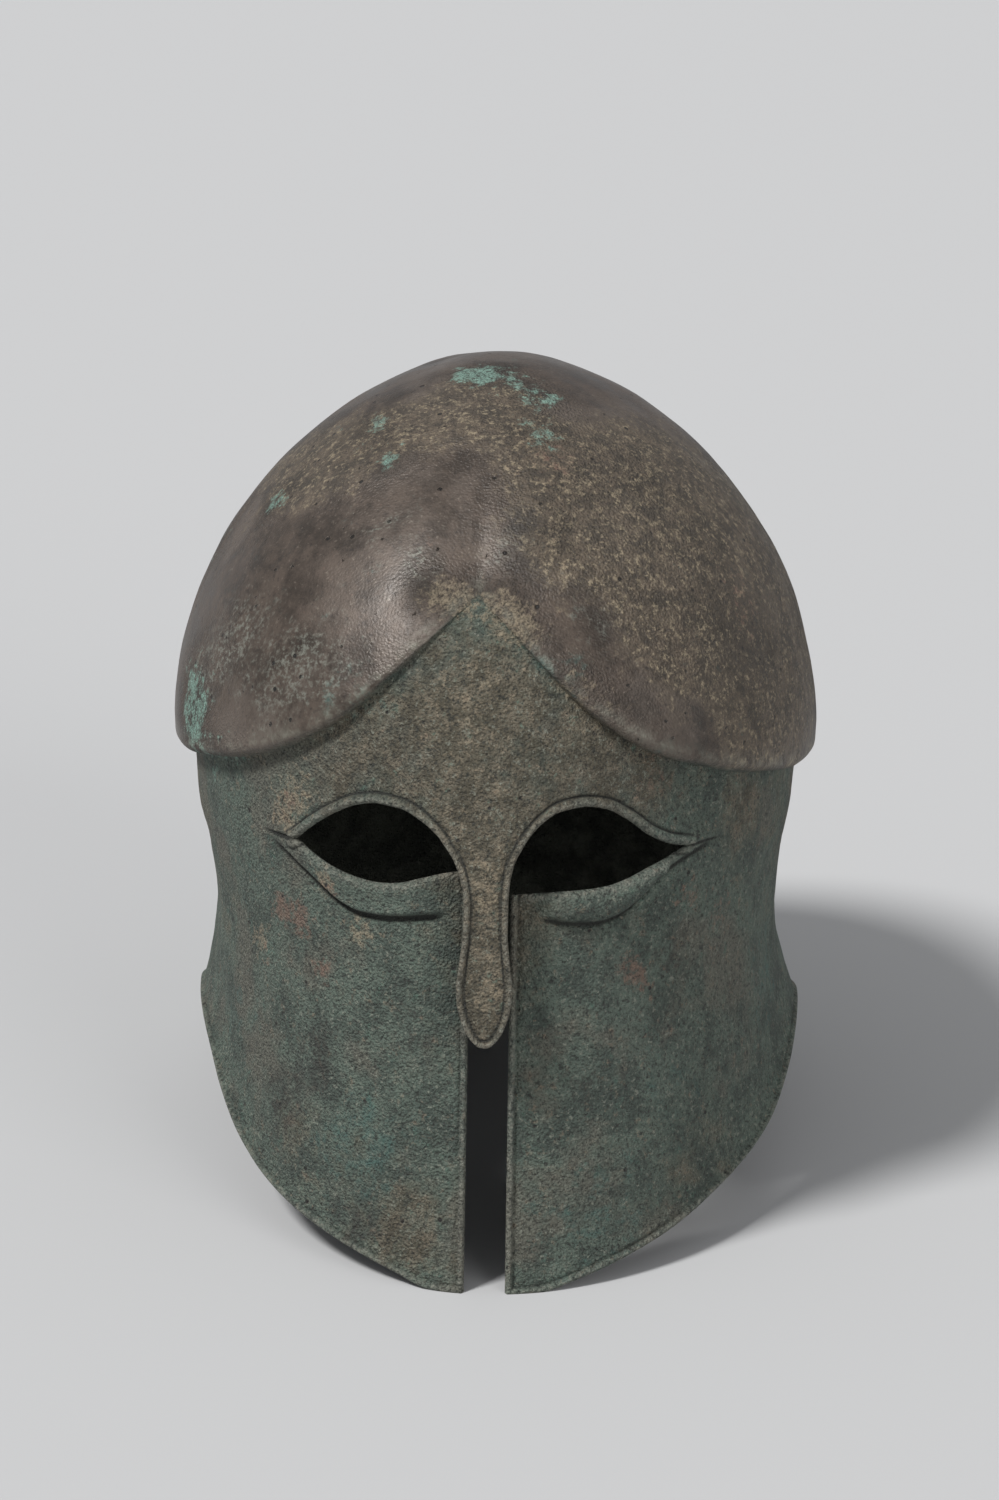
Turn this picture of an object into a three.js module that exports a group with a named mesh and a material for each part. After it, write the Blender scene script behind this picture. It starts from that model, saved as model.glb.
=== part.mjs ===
// Corinthian helmet, raised from one sheet of bronze: a tall skull that overhangs a closed face, almond
// eyes, a long nasal, two cheek guards that almost meet, and a neck guard that flares at the nape.
//
// The sheet is described upright: x to the right as seen from the front, y to the back, z up, with the
// cheek tips at height 0. A place on it is an angle round the upright axis (0 at the front, negative to
// the left, 180 at the nape) and a height. The sheet is cut into five patches of rows and columns, given
// its thickness, and then leaned back until it stands on its two cheek tips and the lip of the nape.

import * as THREE from 'three';

// ---------------------------------------------------------------- driving dimensions, in mm and degrees

const WALL = 1.5; // thickness of the sheet
const NASAL_WALL = 3.0; // thickness of the nasal at its tip
const AXIS_Y = 118; // the upright axis, behind the cheek tips

const SKULL_BASE = 146; // height where the skull starts to close
const SKULL_TOP = 256;
const SKULL_TOP_Y = 126; // the crown lies a little behind the axis
const SKULL_ROUND = 1.152; // how fast the skull narrows: 1 is an ellipse, more is pointed
const SKULL_RISE = 1.037;
const FRONT_POWER = 2.0; // plan of the front half: 2 is an ellipse
const BACK_POWER = 2.15; // plan of the back half: a little squarer

const PEAK = -3; // angle of the peak of the brow, a little left of the middle
const LEDGE_RADIUS = 4; // rounding of the skull's overhanging edge

const SLOT_HALF = 6.2; // half of the slot between the cheek guards
const FACE_RADIUS = 116; // axis to the middle of the face
const EYE_CORNER = 32.5; // angle of the outer corners of the eyes
const NASAL_TIP = 75.6; // height of the nasal's tip

const LIP_WIDTH = 2.6; // the raised bead along every free edge
const LIP_HEIGHT = 0.9;
const LID_BAND = 1.2; // how far the lower lid stands out
const REACH_HALF = 52; // half width over which the brow ridge fades out

const NAPE_DROP = 33.7; // height of the nape's lip above the cheek tips while upright
const NAPE_Y = 250; // and its distance behind them
const FOOT_WEAR = 0.4; // how much the feet are flattened
const WELD = 0.001; // places closer than this are one point

// A table has its column names and its rows; the first column is what it is looked up by.
function table(names, rows) {
  return Object.fromEntries(names.map((name, i) => [name, rows.map((row) => row[i])]));
}

// Plan of the wall: half width on each side of the axis, front and back.
const PLAN = table(['height', 'left', 'right', 'front', 'back'], [
  [0, 87.0, 91.5, 0.0, 238],
  [30, 86.2, 90.5, 0.5, 237],
  [60, 85.0, 88.2, 1.5, 236],
  [90, 85.0, 85.6, 2.0, 236],
  [108, 87.3, 86.9, 2.5, 238],
  [125, 90.6, 90.0, 3.0, 241],
  [146, 92.4, 91.0, 4.5, 246],
]);

// Edge of the skull, by the angle from the peak: its height, and how far it overhangs the face.
const SKULL_EDGE = table(['angle', 'height', 'ledge'], [
  [0, 200, 0],
  [6, 190, 2.4],
  [12, 178.5, 4.2],
  [18, 167.5, 5.2],
  [24, 159.3, 5.8],
  [32, 152.4, 6.2],
  [42, 147, 6.3],
  [54, 142.7, 6.2],
  [70, 139.4, 6.0],
  [90, 138.5, 5.8],
  [120, 140.5, 5.8],
  [180, 144, 6.0],
]);

// How far the brow ridge and the nasal stand in front of the wall.
const REACH = table(['height', 'forward'], [
  [73, 10],
  [100, 9.5],
  [120, 8.5],
  [135, 7],
  [150, 5.5],
  [165, 4.5],
  [180, 3.5],
  [200, 2.5],
  [225, 0],
  [256, 0],
]);

// Heights of the eyes' lids, by the angle from the middle of the face.
const LIDS = table(['angle', 'upperLeft', 'upperRight', 'lowerLeft', 'lowerRight'], [
  [3, 120.0, 127.5, 123.6, 117.2],
  [5, 128.3, 134.5, 123.4, 117.3],
  [7.2, 134.4, 139.2, 122.6, 117.5],
  [10, 138.7, 142.2, 121.0, 117.7],
  [13.5, 141.6, 143.0, 119.0, 117.8],
  [17, 142.1, 141.7, 118.4, 118.2],
  [20.5, 140.8, 138.0, 119.0, 119.6],
  [24.5, 137.3, 132.4, 120.6, 122.2],
  [28.5, 132.6, 128.9, 123.3, 124.5],
  [32.5, 127.0, 127.2, 127.0, 127.2],
]);

// Side edges of the nasal, measured across the front.
const NASAL = table(['height', 'left', 'right'], [
  [75.6, -2.9, 0.9],
  [78, -5.2, 3.0],
  [82, -7.2, 4.9],
  [87, -8.7, 6.2],
  [92, -9.1, 6.6],
  [99, -8.4, 5.9],
  [108, -7.4, 5.0],
  [116, -7.2, 5.0],
  [122, -8.0, 5.3],
  [128, -10.1, 6.6],
  [134.4, -14.6, 10.1],
]);

// Lower edge of the cheek guards and the neck guard.
const RIM = table(['angle', 'left', 'right'], [
  [3, 0, 0],
  [8, 1.0, 0.6],
  [13, 4.8, 3.5],
  [20, 9.4, 7.9],
  [30, 15.6, 14.5],
  [40, 22.0, 21.5],
  [50, 29.8, 27.5],
  [60, 41.0, 35.0],
  [70, 50.8, 44.0],
  [84, 57.5, 54.0],
  [95, 59.0, 57.5],
  [110, 55.5, 55.0],
  [135, 44.0, 44.0],
  [150, 37.5, 37.5],
  [163, 33.0, 33.0],
  [180, 33.4, 33.4],
]);

// The neck guard's flare: how far its lip stands out, and the height over which that fades.
const FLARE = table(['angle', 'out', 'fade'], [
  [0, 0, 14],
  [45, 0, 14],
  [60, 1.8, 18],
  [75, 3.2, 26],
  [90, 4.4, 40],
  [105, 6.2, 46],
  [140, 10.5, 58],
  [180, 13, 66],
]);
const FLARE_POWER = 2.2;

// The groove under each lower lid, by the angle from the middle.
const GROOVE = table(['angle', 'left', 'right'], [
  [8, 109.2, 109.9],
  [14, 107.4, 107.6],
  [19, 107.1, 108.2],
  [23, 108.2, 112.6],
  [27, 111.2, 117.6],
  [32, 117.2, 122.5],
  [37, 122.0, 126.4],
]);

// Level that the rows keep behind the eyes, from their outer corners to the nape.
const MID_HEIGHT = 118;

// How the patches are divided: shares along a span, closer together beside the beads.
const CENTRE_STOPS = [0, 0.09, 0.18, 0.35, 0.5, 0.66, 0.82, 0.91, 1];
const EYE_COLUMNS = 9;
const BACK_COLUMNS = 18;
const CHEEK_ROWS = 10;
const BROW_ROWS = 5;
const NASAL_ROWS = 10;
const LEDGE_ROWS = 3;
const SKULL_ROWS = 11;

// ---------------------------------------------------------------- curves

const radians = THREE.MathUtils.degToRad;
const degrees = THREE.MathUtils.radToDeg;
const lerp = THREE.MathUtils.lerp;
const smooth = (t) => THREE.MathUtils.smoothstep(t, 0, 1);

// Slope of the smooth curve through a table's rows, without overshoot between them.
function slopeAt(xs, ys, i) {
  const before = (ys[i] - ys[i - 1]) / (xs[i] - xs[i - 1]);
  const after = (ys[i + 1] - ys[i]) / (xs[i + 1] - xs[i]);
  if (i === 0) return after;
  if (i === xs.length - 1) return before;
  if (before * after <= 0) return 0;
  const spanBefore = xs[i] - xs[i - 1];
  const spanAfter = xs[i + 1] - xs[i];
  const w1 = 2 * spanAfter + spanBefore;
  const w2 = spanAfter + 2 * spanBefore;
  return (w1 + w2) / (w1 / before + w2 / after);
}

// Value of one column of a table at x, held level beyond its ends.
function along(rows, name, x) {
  const xs = Object.values(rows)[0];
  const ys = rows[name];
  const at = THREE.MathUtils.clamp(x, xs[0], xs[xs.length - 1]);
  const next = xs.findIndex((value, n) => n > 0 && at <= value);
  const i = next - 1;
  const span = xs[next] - xs[i];
  const t = (at - xs[i]) / span;
  const t2 = t * t;
  const t3 = t2 * t;
  const first = (2 * t3 - 3 * t2 + 1) * ys[i] + (t3 - 2 * t2 + t) * span * slopeAt(xs, ys, i);
  return first + (3 * t2 - 2 * t3) * ys[next] + (t3 - t2) * span * slopeAt(xs, ys, next);
}

// The same, from a table that has a column for each side of the face.
function bySide(rows, angle, name = '') {
  const side = angle < 0 ? 'left' : 'right';
  const column = name ? name + side[0].toUpperCase() + side.slice(1) : side;
  return along(rows, column, Math.abs(angle));
}

const rimHeight = (angle) => bySide(RIM, angle);
const turnFromPeak = (angle) => Math.abs(THREE.MathUtils.euclideanModulo(angle - PEAK + 180, 360) - 180);
const edgeHeight = (angle) => along(SKULL_EDGE, 'height', turnFromPeak(angle));
const edgeLedge = (angle) => along(SKULL_EDGE, 'ledge', turnFromPeak(angle));
const faceAngle = (x) => degrees(Math.asin(x / FACE_RADIUS));
const slotAngle = faceAngle(SLOT_HALF);
const seamLeft = faceAngle(NASAL.left.at(-1));
const seamRight = faceAngle(NASAL.right.at(-1));

// Height that the rows keep behind the eye's corner.
function midHeight(angle) {
  const corner = bySide(LIDS, Math.sign(angle) * EYE_CORNER, 'upper');
  const share = (Math.abs(angle) - EYE_CORNER) / (180 - EYE_CORNER);
  return lerp(corner, MID_HEIGHT, smooth(share * 1.6));
}

// Lower limit of the brow's rows: the upper lids, the top of the nasal, or the level behind the eyes.
function browFoot(angle) {
  if (angle > seamLeft && angle < seamRight) {
    const share = (angle - seamLeft) / (seamRight - seamLeft);
    return lerp(bySide(LIDS, seamLeft, 'upper'), bySide(LIDS, seamRight, 'upper'), share);
  }
  return Math.abs(angle) <= EYE_CORNER ? bySide(LIDS, angle, 'upper') : midHeight(angle);
}

const cheekTop = (angle) => (Math.abs(angle) < EYE_CORNER ? bySide(LIDS, angle, 'lower') : midHeight(angle));

// ---------------------------------------------------------------- the surface

// Share of its base width that the skull keeps at a latitude, in radians above its base.
const skullShare = (latitude) => Math.cos(latitude) ** SKULL_ROUND;
const skullHeight = (latitude) => SKULL_BASE + (SKULL_TOP - SKULL_BASE) * Math.sin(latitude) ** SKULL_RISE;

function latitudeOf(height) {
  const share = THREE.MathUtils.clamp((height - SKULL_BASE) / (SKULL_TOP - SKULL_BASE), 0, 1);
  return Math.asin(share ** (1 / SKULL_RISE));
}

// Distance of the plain wall from the axis: an oval with its own half width left, right, front and back.
function wallRadius(angle, height) {
  const turn = radians(angle);
  const inFront = Math.cos(turn) > 0;
  const side = along(PLAN, angle < 0 ? 'left' : 'right', height);
  const depth = inFront ? AXIS_Y - along(PLAN, 'front', height) : along(PLAN, 'back', height) - AXIS_Y;
  const power = inFront ? FRONT_POWER : BACK_POWER;
  const across = Math.abs(Math.sin(turn) / side) ** power;
  return (across + Math.abs(Math.cos(turn) / depth) ** power) ** (-1 / power);
}

function flareOut(angle, height) {
  const turn = Math.abs(angle);
  const climb = (height - rimHeight(angle)) / along(FLARE, 'fade', turn);
  return along(FLARE, 'out', turn) * THREE.MathUtils.clamp(1 - climb, 0, 1.3) ** FLARE_POWER;
}

// A point of the sheet's outer face. The cheek guards stay behind the brow ridge's reach.
function surfacePoint({ angle, height, latitude = latitudeOf(height), ledge = 0, ridge = true }) {
  const share = skullShare(latitude);
  const radius = (wallRadius(angle, height) + flareOut(angle, height) + ledge) * share;
  const turn = radians(angle);
  const x = radius * Math.sin(turn);
  const lean = (SKULL_TOP_Y - AXIS_Y) * (1 - share);
  const fade = Math.max(0, 1 - (x / REACH_HALF) ** 2) ** 3;
  const reach = ridge && Math.cos(turn) > 0 ? along(REACH, 'forward', height) * fade : 0;
  return new THREE.Vector3(x, AXIS_Y + lean - radius * Math.cos(turn) - reach, height);
}

// ---------------------------------------------------------------- beads, lids and grooves

function lineOf(places) {
  return places.map((place) => surfacePoint(place));
}

// Shares of a span in equal steps, both ends included.
const steps = (count) => Array.from({ length: count + 1 }, (_, i) => i / count);

// Lower edge of the brow, all the way from one eye's corner round the nasal to the other's.
function browLine() {
  const lid = (from, to) => steps(24).map((t) => {
    const angle = lerp(from, to, t);
    return { angle, height: browFoot(angle) };
  });
  const side = (name) => steps(30).map((t) => {
    const height = lerp(NASAL_TIP, NASAL.height.at(-1), t);
    return { angle: faceAngle(along(NASAL, name, height)), height };
  });
  return lineOf([
    ...lid(-EYE_CORNER, seamLeft),
    ...side('left').reverse(),
    ...side('right'),
    ...lid(seamRight, EYE_CORNER),
  ]);
}

// Front and lower edge of one half of the helmet, from the top of the slot to the nape.
function rimLine(side) {
  const top = bySide(LIDS, side * slotAngle, 'lower');
  const front = steps(30).map((t) => ({ angle: side * slotAngle, height: lerp(top, 0, t), ridge: false }));
  const under = steps(90).map((t) => {
    const angle = side * lerp(slotAngle, 180, t);
    return { angle, height: rimHeight(angle), ridge: false };
  });
  return lineOf([...front, ...under]);
}

const BROW_LINE = browLine();
const RIM_LINES = { left: rimLine(-1), right: rimLine(1) };

function distanceTo(line, point) {
  const segment = new THREE.Line3();
  const near = new THREE.Vector3();
  let best = Infinity;
  for (let i = 1; i < line.length; i += 1) {
    segment.set(line[i - 1], line[i]).closestPointToPoint(point, true, near);
    best = Math.min(best, near.distanceTo(point));
  }
  return best;
}

// Height of a rounded bead at a distance from the edge it follows.
const bead = (distance) => LIP_HEIGHT * Math.sqrt(Math.max(0, 1 - (distance / LIP_WIDTH) ** 2));

// How far the lower lid's band stands out: full from the lid to the groove, fading at both ends.
function lidBand(angle, height) {
  const turn = Math.abs(angle);
  const groove = bySide(GROOVE, angle);
  const ends = smooth((turn - 4) / 6) * smooth((37 - turn) / 8);
  return LID_BAND * ends * smooth((height - groove) / 2.5);
}

// ---------------------------------------------------------------- patches of the sheet

function eyeSpan(side, first, columns) {
  return steps(columns).map((t) => lerp(side * first, side * EYE_CORNER, t));
}

function backSpan(side) {
  return steps(BACK_COLUMNS).slice(1).map((t) => lerp(side * EYE_CORNER, side * 180, t));
}

// All the way round, from the nape by the left side and the face back to the nape.
function ringAngles() {
  const centre = CENTRE_STOPS.map((t) => lerp(seamLeft, seamRight, t));
  const left = [...eyeSpan(-1, -seamLeft, EYE_COLUMNS).slice(1), ...backSpan(-1)].reverse();
  const right = [...eyeSpan(1, seamRight, EYE_COLUMNS).slice(1), ...backSpan(1)];
  return [...left, ...centre, ...right];
}

// Shares of a span of rows or columns that starts with a bead.
function beadedStops(length, count) {
  const beadShare = LIP_WIDTH / length;
  return [0, beadShare * 0.45, ...steps(count).map((t) => lerp(beadShare, 1, t))];
}

function cheekPatch(side) {
  const front = beadedStops(radians(EYE_CORNER) * FACE_RADIUS, EYE_COLUMNS);
  const angles = [...front.map((t) => side * lerp(slotAngle, EYE_CORNER, t)), ...backSpan(side)];
  if (side < 0) angles.reverse();
  return angles.map((angle) => {
    const foot = rimHeight(angle);
    const top = cheekTop(angle);
    return beadedStops(top - foot, CHEEK_ROWS).map((t) => {
      const height = lerp(foot, top, t);
      return { angle, height, ridge: false, relief: lidBand(angle, height) };
    });
  });
}

function browPatch() {
  return ringAngles().map((angle) => {
    const foot = browFoot(angle);
    const top = edgeHeight(angle);
    return beadedStops(top - foot, BROW_ROWS).map((t) => ({ angle, height: lerp(foot, top, t) }));
  });
}

function nasalPatch() {
  const tops = [bySide(LIDS, seamLeft, 'upper'), bySide(LIDS, seamRight, 'upper')];
  return CENTRE_STOPS.map((across) => steps(NASAL_ROWS).map((t) => {
    const height = lerp(NASAL_TIP, lerp(tops[0], tops[1], across), t);
    const left = faceAngle(along(NASAL, 'left', lerp(NASAL_TIP, NASAL.height.at(-1), t)));
    const right = faceAngle(along(NASAL, 'right', lerp(NASAL_TIP, NASAL.height.at(-1), t)));
    const wall = lerp(NASAL_WALL, WALL, smooth(t));
    return { angle: lerp(left, right, across), height, wall };
  }));
}

// The overhanging edge is a quarter turn from the face out to the skull; the skull closes above it.
function skullPatch() {
  return ringAngles().map((angle) => {
    const edge = edgeHeight(angle);
    const ledge = edgeLedge(angle);
    const turned = steps(LEDGE_ROWS).map((t) => ({
      angle,
      height: edge + LEDGE_RADIUS * (1 - Math.cos((t * Math.PI) / 2)),
      ledge: ledge * Math.sin((t * Math.PI) / 2),
    }));
    const start = latitudeOf(edge + LEDGE_RADIUS);
    const dome = steps(SKULL_ROWS).slice(1).map((t) => {
      const latitude = lerp(start, Math.PI / 2, t);
      return { angle, height: skullHeight(latitude), latitude, ledge };
    });
    return [...turned, ...dome];
  });
}

// ---------------------------------------------------------------- from patches to one closed solid

// Welds the patches where they meet. Each place becomes a point of the sheet with its wall and relief.
function weld(patches) {
  const points = [];
  const faces = [];
  const known = new Map();
  const indexOf = (place) => {
    const point = surfacePoint(place);
    const key = point.toArray().map((value) => Math.round(value / WELD)).join(' ');
    if (!known.has(key)) {
      known.set(key, points.length);
      points.push({ point, wall: place.wall ?? WALL, relief: place.relief ?? 0, place });
    }
    return known.get(key);
  };
  for (const patch of patches) {
    const grid = patch.map((column) => column.map(indexOf));
    for (let i = 1; i < grid.length; i += 1) {
      for (let j = 1; j < grid[i].length; j += 1) {
        const [a, b, c, d] = [grid[i - 1][j - 1], grid[i][j - 1], grid[i][j], grid[i - 1][j]];
        faces.push([a, b, c], [a, c, d]);
      }
    }
  }
  return { points, faces: faces.filter(([a, b, c]) => a !== b && b !== c && c !== a) };
}

function addNormals({ points, faces }) {
  points.forEach((entry) => { entry.normal = new THREE.Vector3(); });
  const triangle = new THREE.Triangle();
  const normal = new THREE.Vector3();
  for (const face of faces) {
    triangle.set(...face.map((index) => points[index].point));
    triangle.getNormal(normal).multiplyScalar(triangle.getArea());
    face.forEach((index) => points[index].normal.add(normal));
  }
  points.forEach((entry) => entry.normal.normalize());
}

// Adds the bead of whichever free edge is nearest.
function addBeads({ points }) {
  for (const entry of points) {
    const { ridge = true, angle, height } = entry.place;
    const rim = angle < 0 ? RIM_LINES.left : RIM_LINES.right;
    if (height < SKULL_BASE) entry.relief += bead(distanceTo(ridge ? BROW_LINE : rim, entry.point));
  }
}

// The outer face, the inner face one wall behind it, and a strip along every free edge.
function thicken({ points, faces }) {
  const outer = points.map(({ point, normal, relief }) => point.clone().addScaledVector(normal, relief));
  const inner = points.map(({ point, normal, wall }) => point.clone().addScaledVector(normal, -wall));
  const behind = points.length;
  const edges = new Set(faces.flatMap(([a, b, c]) => [`${a} ${b}`, `${b} ${c}`, `${c} ${a}`]));
  const triangles = faces.flatMap(([a, b, c]) => [[a, b, c], [c + behind, b + behind, a + behind]]);
  for (const edge of edges) {
    const [a, b] = edge.split(' ').map(Number);
    if (!edges.has(`${b} ${a}`)) triangles.push([b, a, a + behind], [b, a + behind, b + behind]);
  }
  return { corners: [...outer, ...inner], triangles };
}

// Leans the helmet back on its feet and flattens what would sink into the surface it stands on.
function standUp(corners) {
  const lean = Math.atan2(NAPE_DROP, NAPE_Y);
  const axis = new THREE.Vector3(1, 0, 0);
  for (const corner of corners) {
    corner.applyAxisAngle(axis, -lean);
    corner.z = Math.max(0, corner.z - FOOT_WEAR);
  }
}

function helmetShell() {
  const sheet = weld([cheekPatch(-1), cheekPatch(1), nasalPatch(), browPatch(), skullPatch()]);
  addNormals(sheet);
  addBeads(sheet);
  const { corners, triangles } = thicken(sheet);
  standUp(corners);
  const geometry = new THREE.BufferGeometry().setFromPoints(corners);
  geometry.setIndex(triangles.flat());
  geometry.computeBoundingBox();
  const middle = geometry.boundingBox.getCenter(new THREE.Vector3());
  geometry.translate(-middle.x, -middle.y, 0);
  geometry.computeVertexNormals();
  return geometry;
}

// ---------------------------------------------------------------- the part

const bronze = new THREE.MeshStandardMaterial({ color: 0x5f5c4a, roughness: 0.62, metalness: 0.45 });
const shell = new THREE.Mesh(helmetShell(), bronze);
shell.name = 'helmet_shell';

const helmet = new THREE.Group();
helmet.add(shell);

export default helmet;
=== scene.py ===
# %% [markdown]
# # A Corinthian helmet of corroded bronze
#
# A smith raised this helmet from one disc of bronze: a tall skull that overhangs the face, almond eyes, a
# long nasal, two cheek guards that almost meet and a neck guard that flares at the nape. Two and a half
# thousand years in the ground then covered it with brown, green and tan crusts.
#
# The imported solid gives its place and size. This script makes the fine surface that stands for it: the
# same sheet from the same tables, but with rounded lips, cut lines, hammer marks and crust.

from math import atan2, cos, pi, radians, sin

import bpy
import numpy as np
from mathutils import Matrix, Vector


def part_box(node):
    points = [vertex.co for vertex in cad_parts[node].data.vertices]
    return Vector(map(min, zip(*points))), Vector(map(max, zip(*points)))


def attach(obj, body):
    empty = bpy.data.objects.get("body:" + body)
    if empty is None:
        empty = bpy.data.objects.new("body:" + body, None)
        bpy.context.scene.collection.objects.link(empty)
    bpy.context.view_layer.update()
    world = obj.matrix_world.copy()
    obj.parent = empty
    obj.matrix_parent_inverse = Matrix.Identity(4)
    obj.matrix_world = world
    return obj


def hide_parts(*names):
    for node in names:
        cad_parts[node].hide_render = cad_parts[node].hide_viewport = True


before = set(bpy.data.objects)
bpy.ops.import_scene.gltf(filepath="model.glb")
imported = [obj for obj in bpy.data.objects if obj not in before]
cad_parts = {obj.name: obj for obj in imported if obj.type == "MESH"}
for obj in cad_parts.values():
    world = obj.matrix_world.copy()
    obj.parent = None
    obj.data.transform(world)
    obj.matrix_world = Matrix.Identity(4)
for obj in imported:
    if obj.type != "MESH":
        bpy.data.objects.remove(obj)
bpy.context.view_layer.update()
cad_low, cad_high = (np.array(corner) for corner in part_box("helmet_shell"))
print("the packed helmet measures", np.round((cad_high - cad_low) * 1000, 1), "mm")

# %% [markdown]
# ## The sizes
#
# The sheet is described upright, in millimetres: x to the right as seen from the front, y to the back and
# z up, with the cheek tips at height 0. A place on it is an angle round the upright axis, 0 at the front,
# negative to the left and 180 at the nape, and a height. Tables say where its lines run, as a smith keeps
# a few widths and heights and draws the surface evenly between them.

# %% The main sizes, in millimetres and degrees
WALL = 1.5  # thickness of the sheet
NASAL_WALL = 3.0  # thickness of the nasal at its tip
AXIS_Y = 118.0  # the upright axis, behind the cheek tips

SKULL_BASE = 146.0  # height where the skull starts to close
SKULL_TOP = 256.0
SKULL_TOP_Y = 126.0  # the crown lies a little behind the axis
SKULL_ROUND = 1.152  # how fast the skull narrows: 1 is an ellipse, more is pointed
SKULL_RISE = 1.037  # the same for its height
FRONT_POWER = 2.0  # plan of the front half: 2 is an ellipse
BACK_POWER = 2.15  # plan of the back half: a little squarer

PEAK = -3.0  # angle of the peak of the brow, a little left of the middle
LEDGE_RADIUS = 4.0  # rounding of the skull's overhanging edge
PEAK_FILL = 4.5  # how far the dome stands out above the peak, where its edge has no ledge
FILL_CLIMB = 0.35  # share of the way up over which it comes out so far
SLOT_HALF = 6.2  # half of the slot between the cheek guards
FACE_RADIUS = 116.0  # axis to the middle of the face
EYE_CORNER = 32.5  # angle of the outer corners of the eyes
NASAL_TIP = 75.6  # height of the nasal's tip
REACH_HALF = 52.0  # half width over which the brow ridge fades out
FLARE_POWER = 2.2  # how sharply the nape's flare turns out
MID_HEIGHT = 118.0  # level that the rows keep behind the eyes
MID_EASE = 1.6  # how soon behind the eyes they reach it

NAPE_DROP = 33.7  # height of the nape's lip above the cheek tips while upright
NAPE_Y = 250.0  # and its distance behind them
FOOT_WEAR = 0.4  # how much the feet are flattened
LEAN = atan2(NAPE_DROP, NAPE_Y)  # the helmet leans back by this much to stand on three feet
MM = 0.001
print("the helmet leans back by", round(np.degrees(LEAN), 2), "degrees")


# %% Tables of the wall, the skull's edge, the forward reach and the flare
def table(names, rows):
    """Columns by name from rows of numbers. The others are looked up by the first one."""
    return dict(zip(names.split(), np.array(rows, float).T))


PLAN = table("height left right front back", [
    [0, 87, 91.5, 0, 238],
    [30, 86.2, 90.5, 0.5, 237],
    [60, 85, 88.2, 1.5, 236],
    [90, 85, 85.6, 2, 236],
    [108, 87.3, 86.9, 2.5, 238],
    [125, 90.6, 90, 3, 241],
    [146, 92.4, 91, 4.5, 246],
])

SKULL_EDGE = table("angle height ledge", [
    [0, 200, 0], [6, 190, 2.4], [12, 178.5, 4.2], [18, 167.5, 5.2],
    [24, 159.3, 5.8], [32, 152.4, 6.2], [42, 147, 6.3], [54, 142.7, 6.2],
    [70, 139.4, 6], [90, 138.5, 5.8], [120, 140.5, 5.8], [180, 144, 6],
])

REACH = table("height forward", [
    [73, 10], [100, 9.5], [120, 8.5], [135, 7], [150, 5.5], [165, 4.5],
    [180, 3.5], [200, 2.5], [225, 0], [256, 0],
])

FLARE = table("angle out fade", [
    [0, 0, 14], [45, 0, 14], [60, 1.8, 18], [75, 3.2, 26], [90, 4.4, 40],
    [105, 6.2, 46], [140, 10.5, 58], [180, 13, 66],
])
print("the skull's edge stands out up to", SKULL_EDGE["ledge"].max(), "mm")

# %% Tables of the lids, the nasal, the rim and the line under the lids
LIDS = table("angle upper_left upper_right lower_left lower_right", [
    [3, 120, 127.5, 123.6, 117.2],
    [5, 128.3, 134.5, 123.4, 117.3],
    [7.2, 134.4, 139.2, 122.6, 117.5],
    [10, 138.7, 142.2, 121, 117.7],
    [13.5, 141.6, 143, 119, 117.8],
    [17, 142.1, 141.7, 118.4, 118.2],
    [20.5, 140.8, 138, 119, 119.6],
    [24.5, 137.3, 132.4, 120.6, 122.2],
    [28.5, 132.6, 128.9, 123.3, 124.5],
    [32.5, 127, 127.2, 127, 127.2],
])

NASAL = table("height left right", [
    [75.6, -2.9, 0.9], [78, -5.2, 3], [82, -7.2, 4.9], [87, -8.7, 6.2],
    [92, -9.1, 6.6], [99, -8.4, 5.9], [108, -7.4, 5], [116, -7.2, 5],
    [122, -8, 5.3], [128, -10.1, 6.6], [134.4, -14.6, 10.1],
])

RIM = table("angle left right", [
    [3, 0, 0], [8, 1, 0.6], [13, 4.8, 3.5], [20, 9.4, 7.9], [30, 15.6, 14.5],
    [40, 22, 21.5], [50, 29.8, 27.5], [60, 41, 35], [70, 50.8, 44],
    [84, 57.5, 54], [95, 59, 57.5], [110, 55.5, 55], [135, 44, 44],
    [150, 37.5, 37.5], [163, 33, 33], [180, 33.4, 33.4],
])

GROOVE = table("angle left right", [
    [7.5, 110.4, 110], [11, 109.4, 108.6], [15.5, 108.4, 108],
    [19.5, 108.3, 109.6], [23, 110, 114], [26, 112.8, 118.6],
    [31, 118.3, 122.8], [36, 123, 125.6], [40, 125.6, 127.3],
])
print("the rim arches up to", RIM["left"].max(), "mm on the left")

# %% [markdown]
# ## Smooth curves through the tables
#
# Every line of the helmet is a curve through a few known places. It never swings past the places on
# either side, as a batten pinned to a pattern doesn't, so a lid stays a lid.


# %% Curves
def smooth(t):
    """0 below 0, 1 above 1, and 3t^2 - 2t^3 between them."""
    t = np.clip(t, 0, 1)
    return t * t * (3 - 2 * t)


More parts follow.
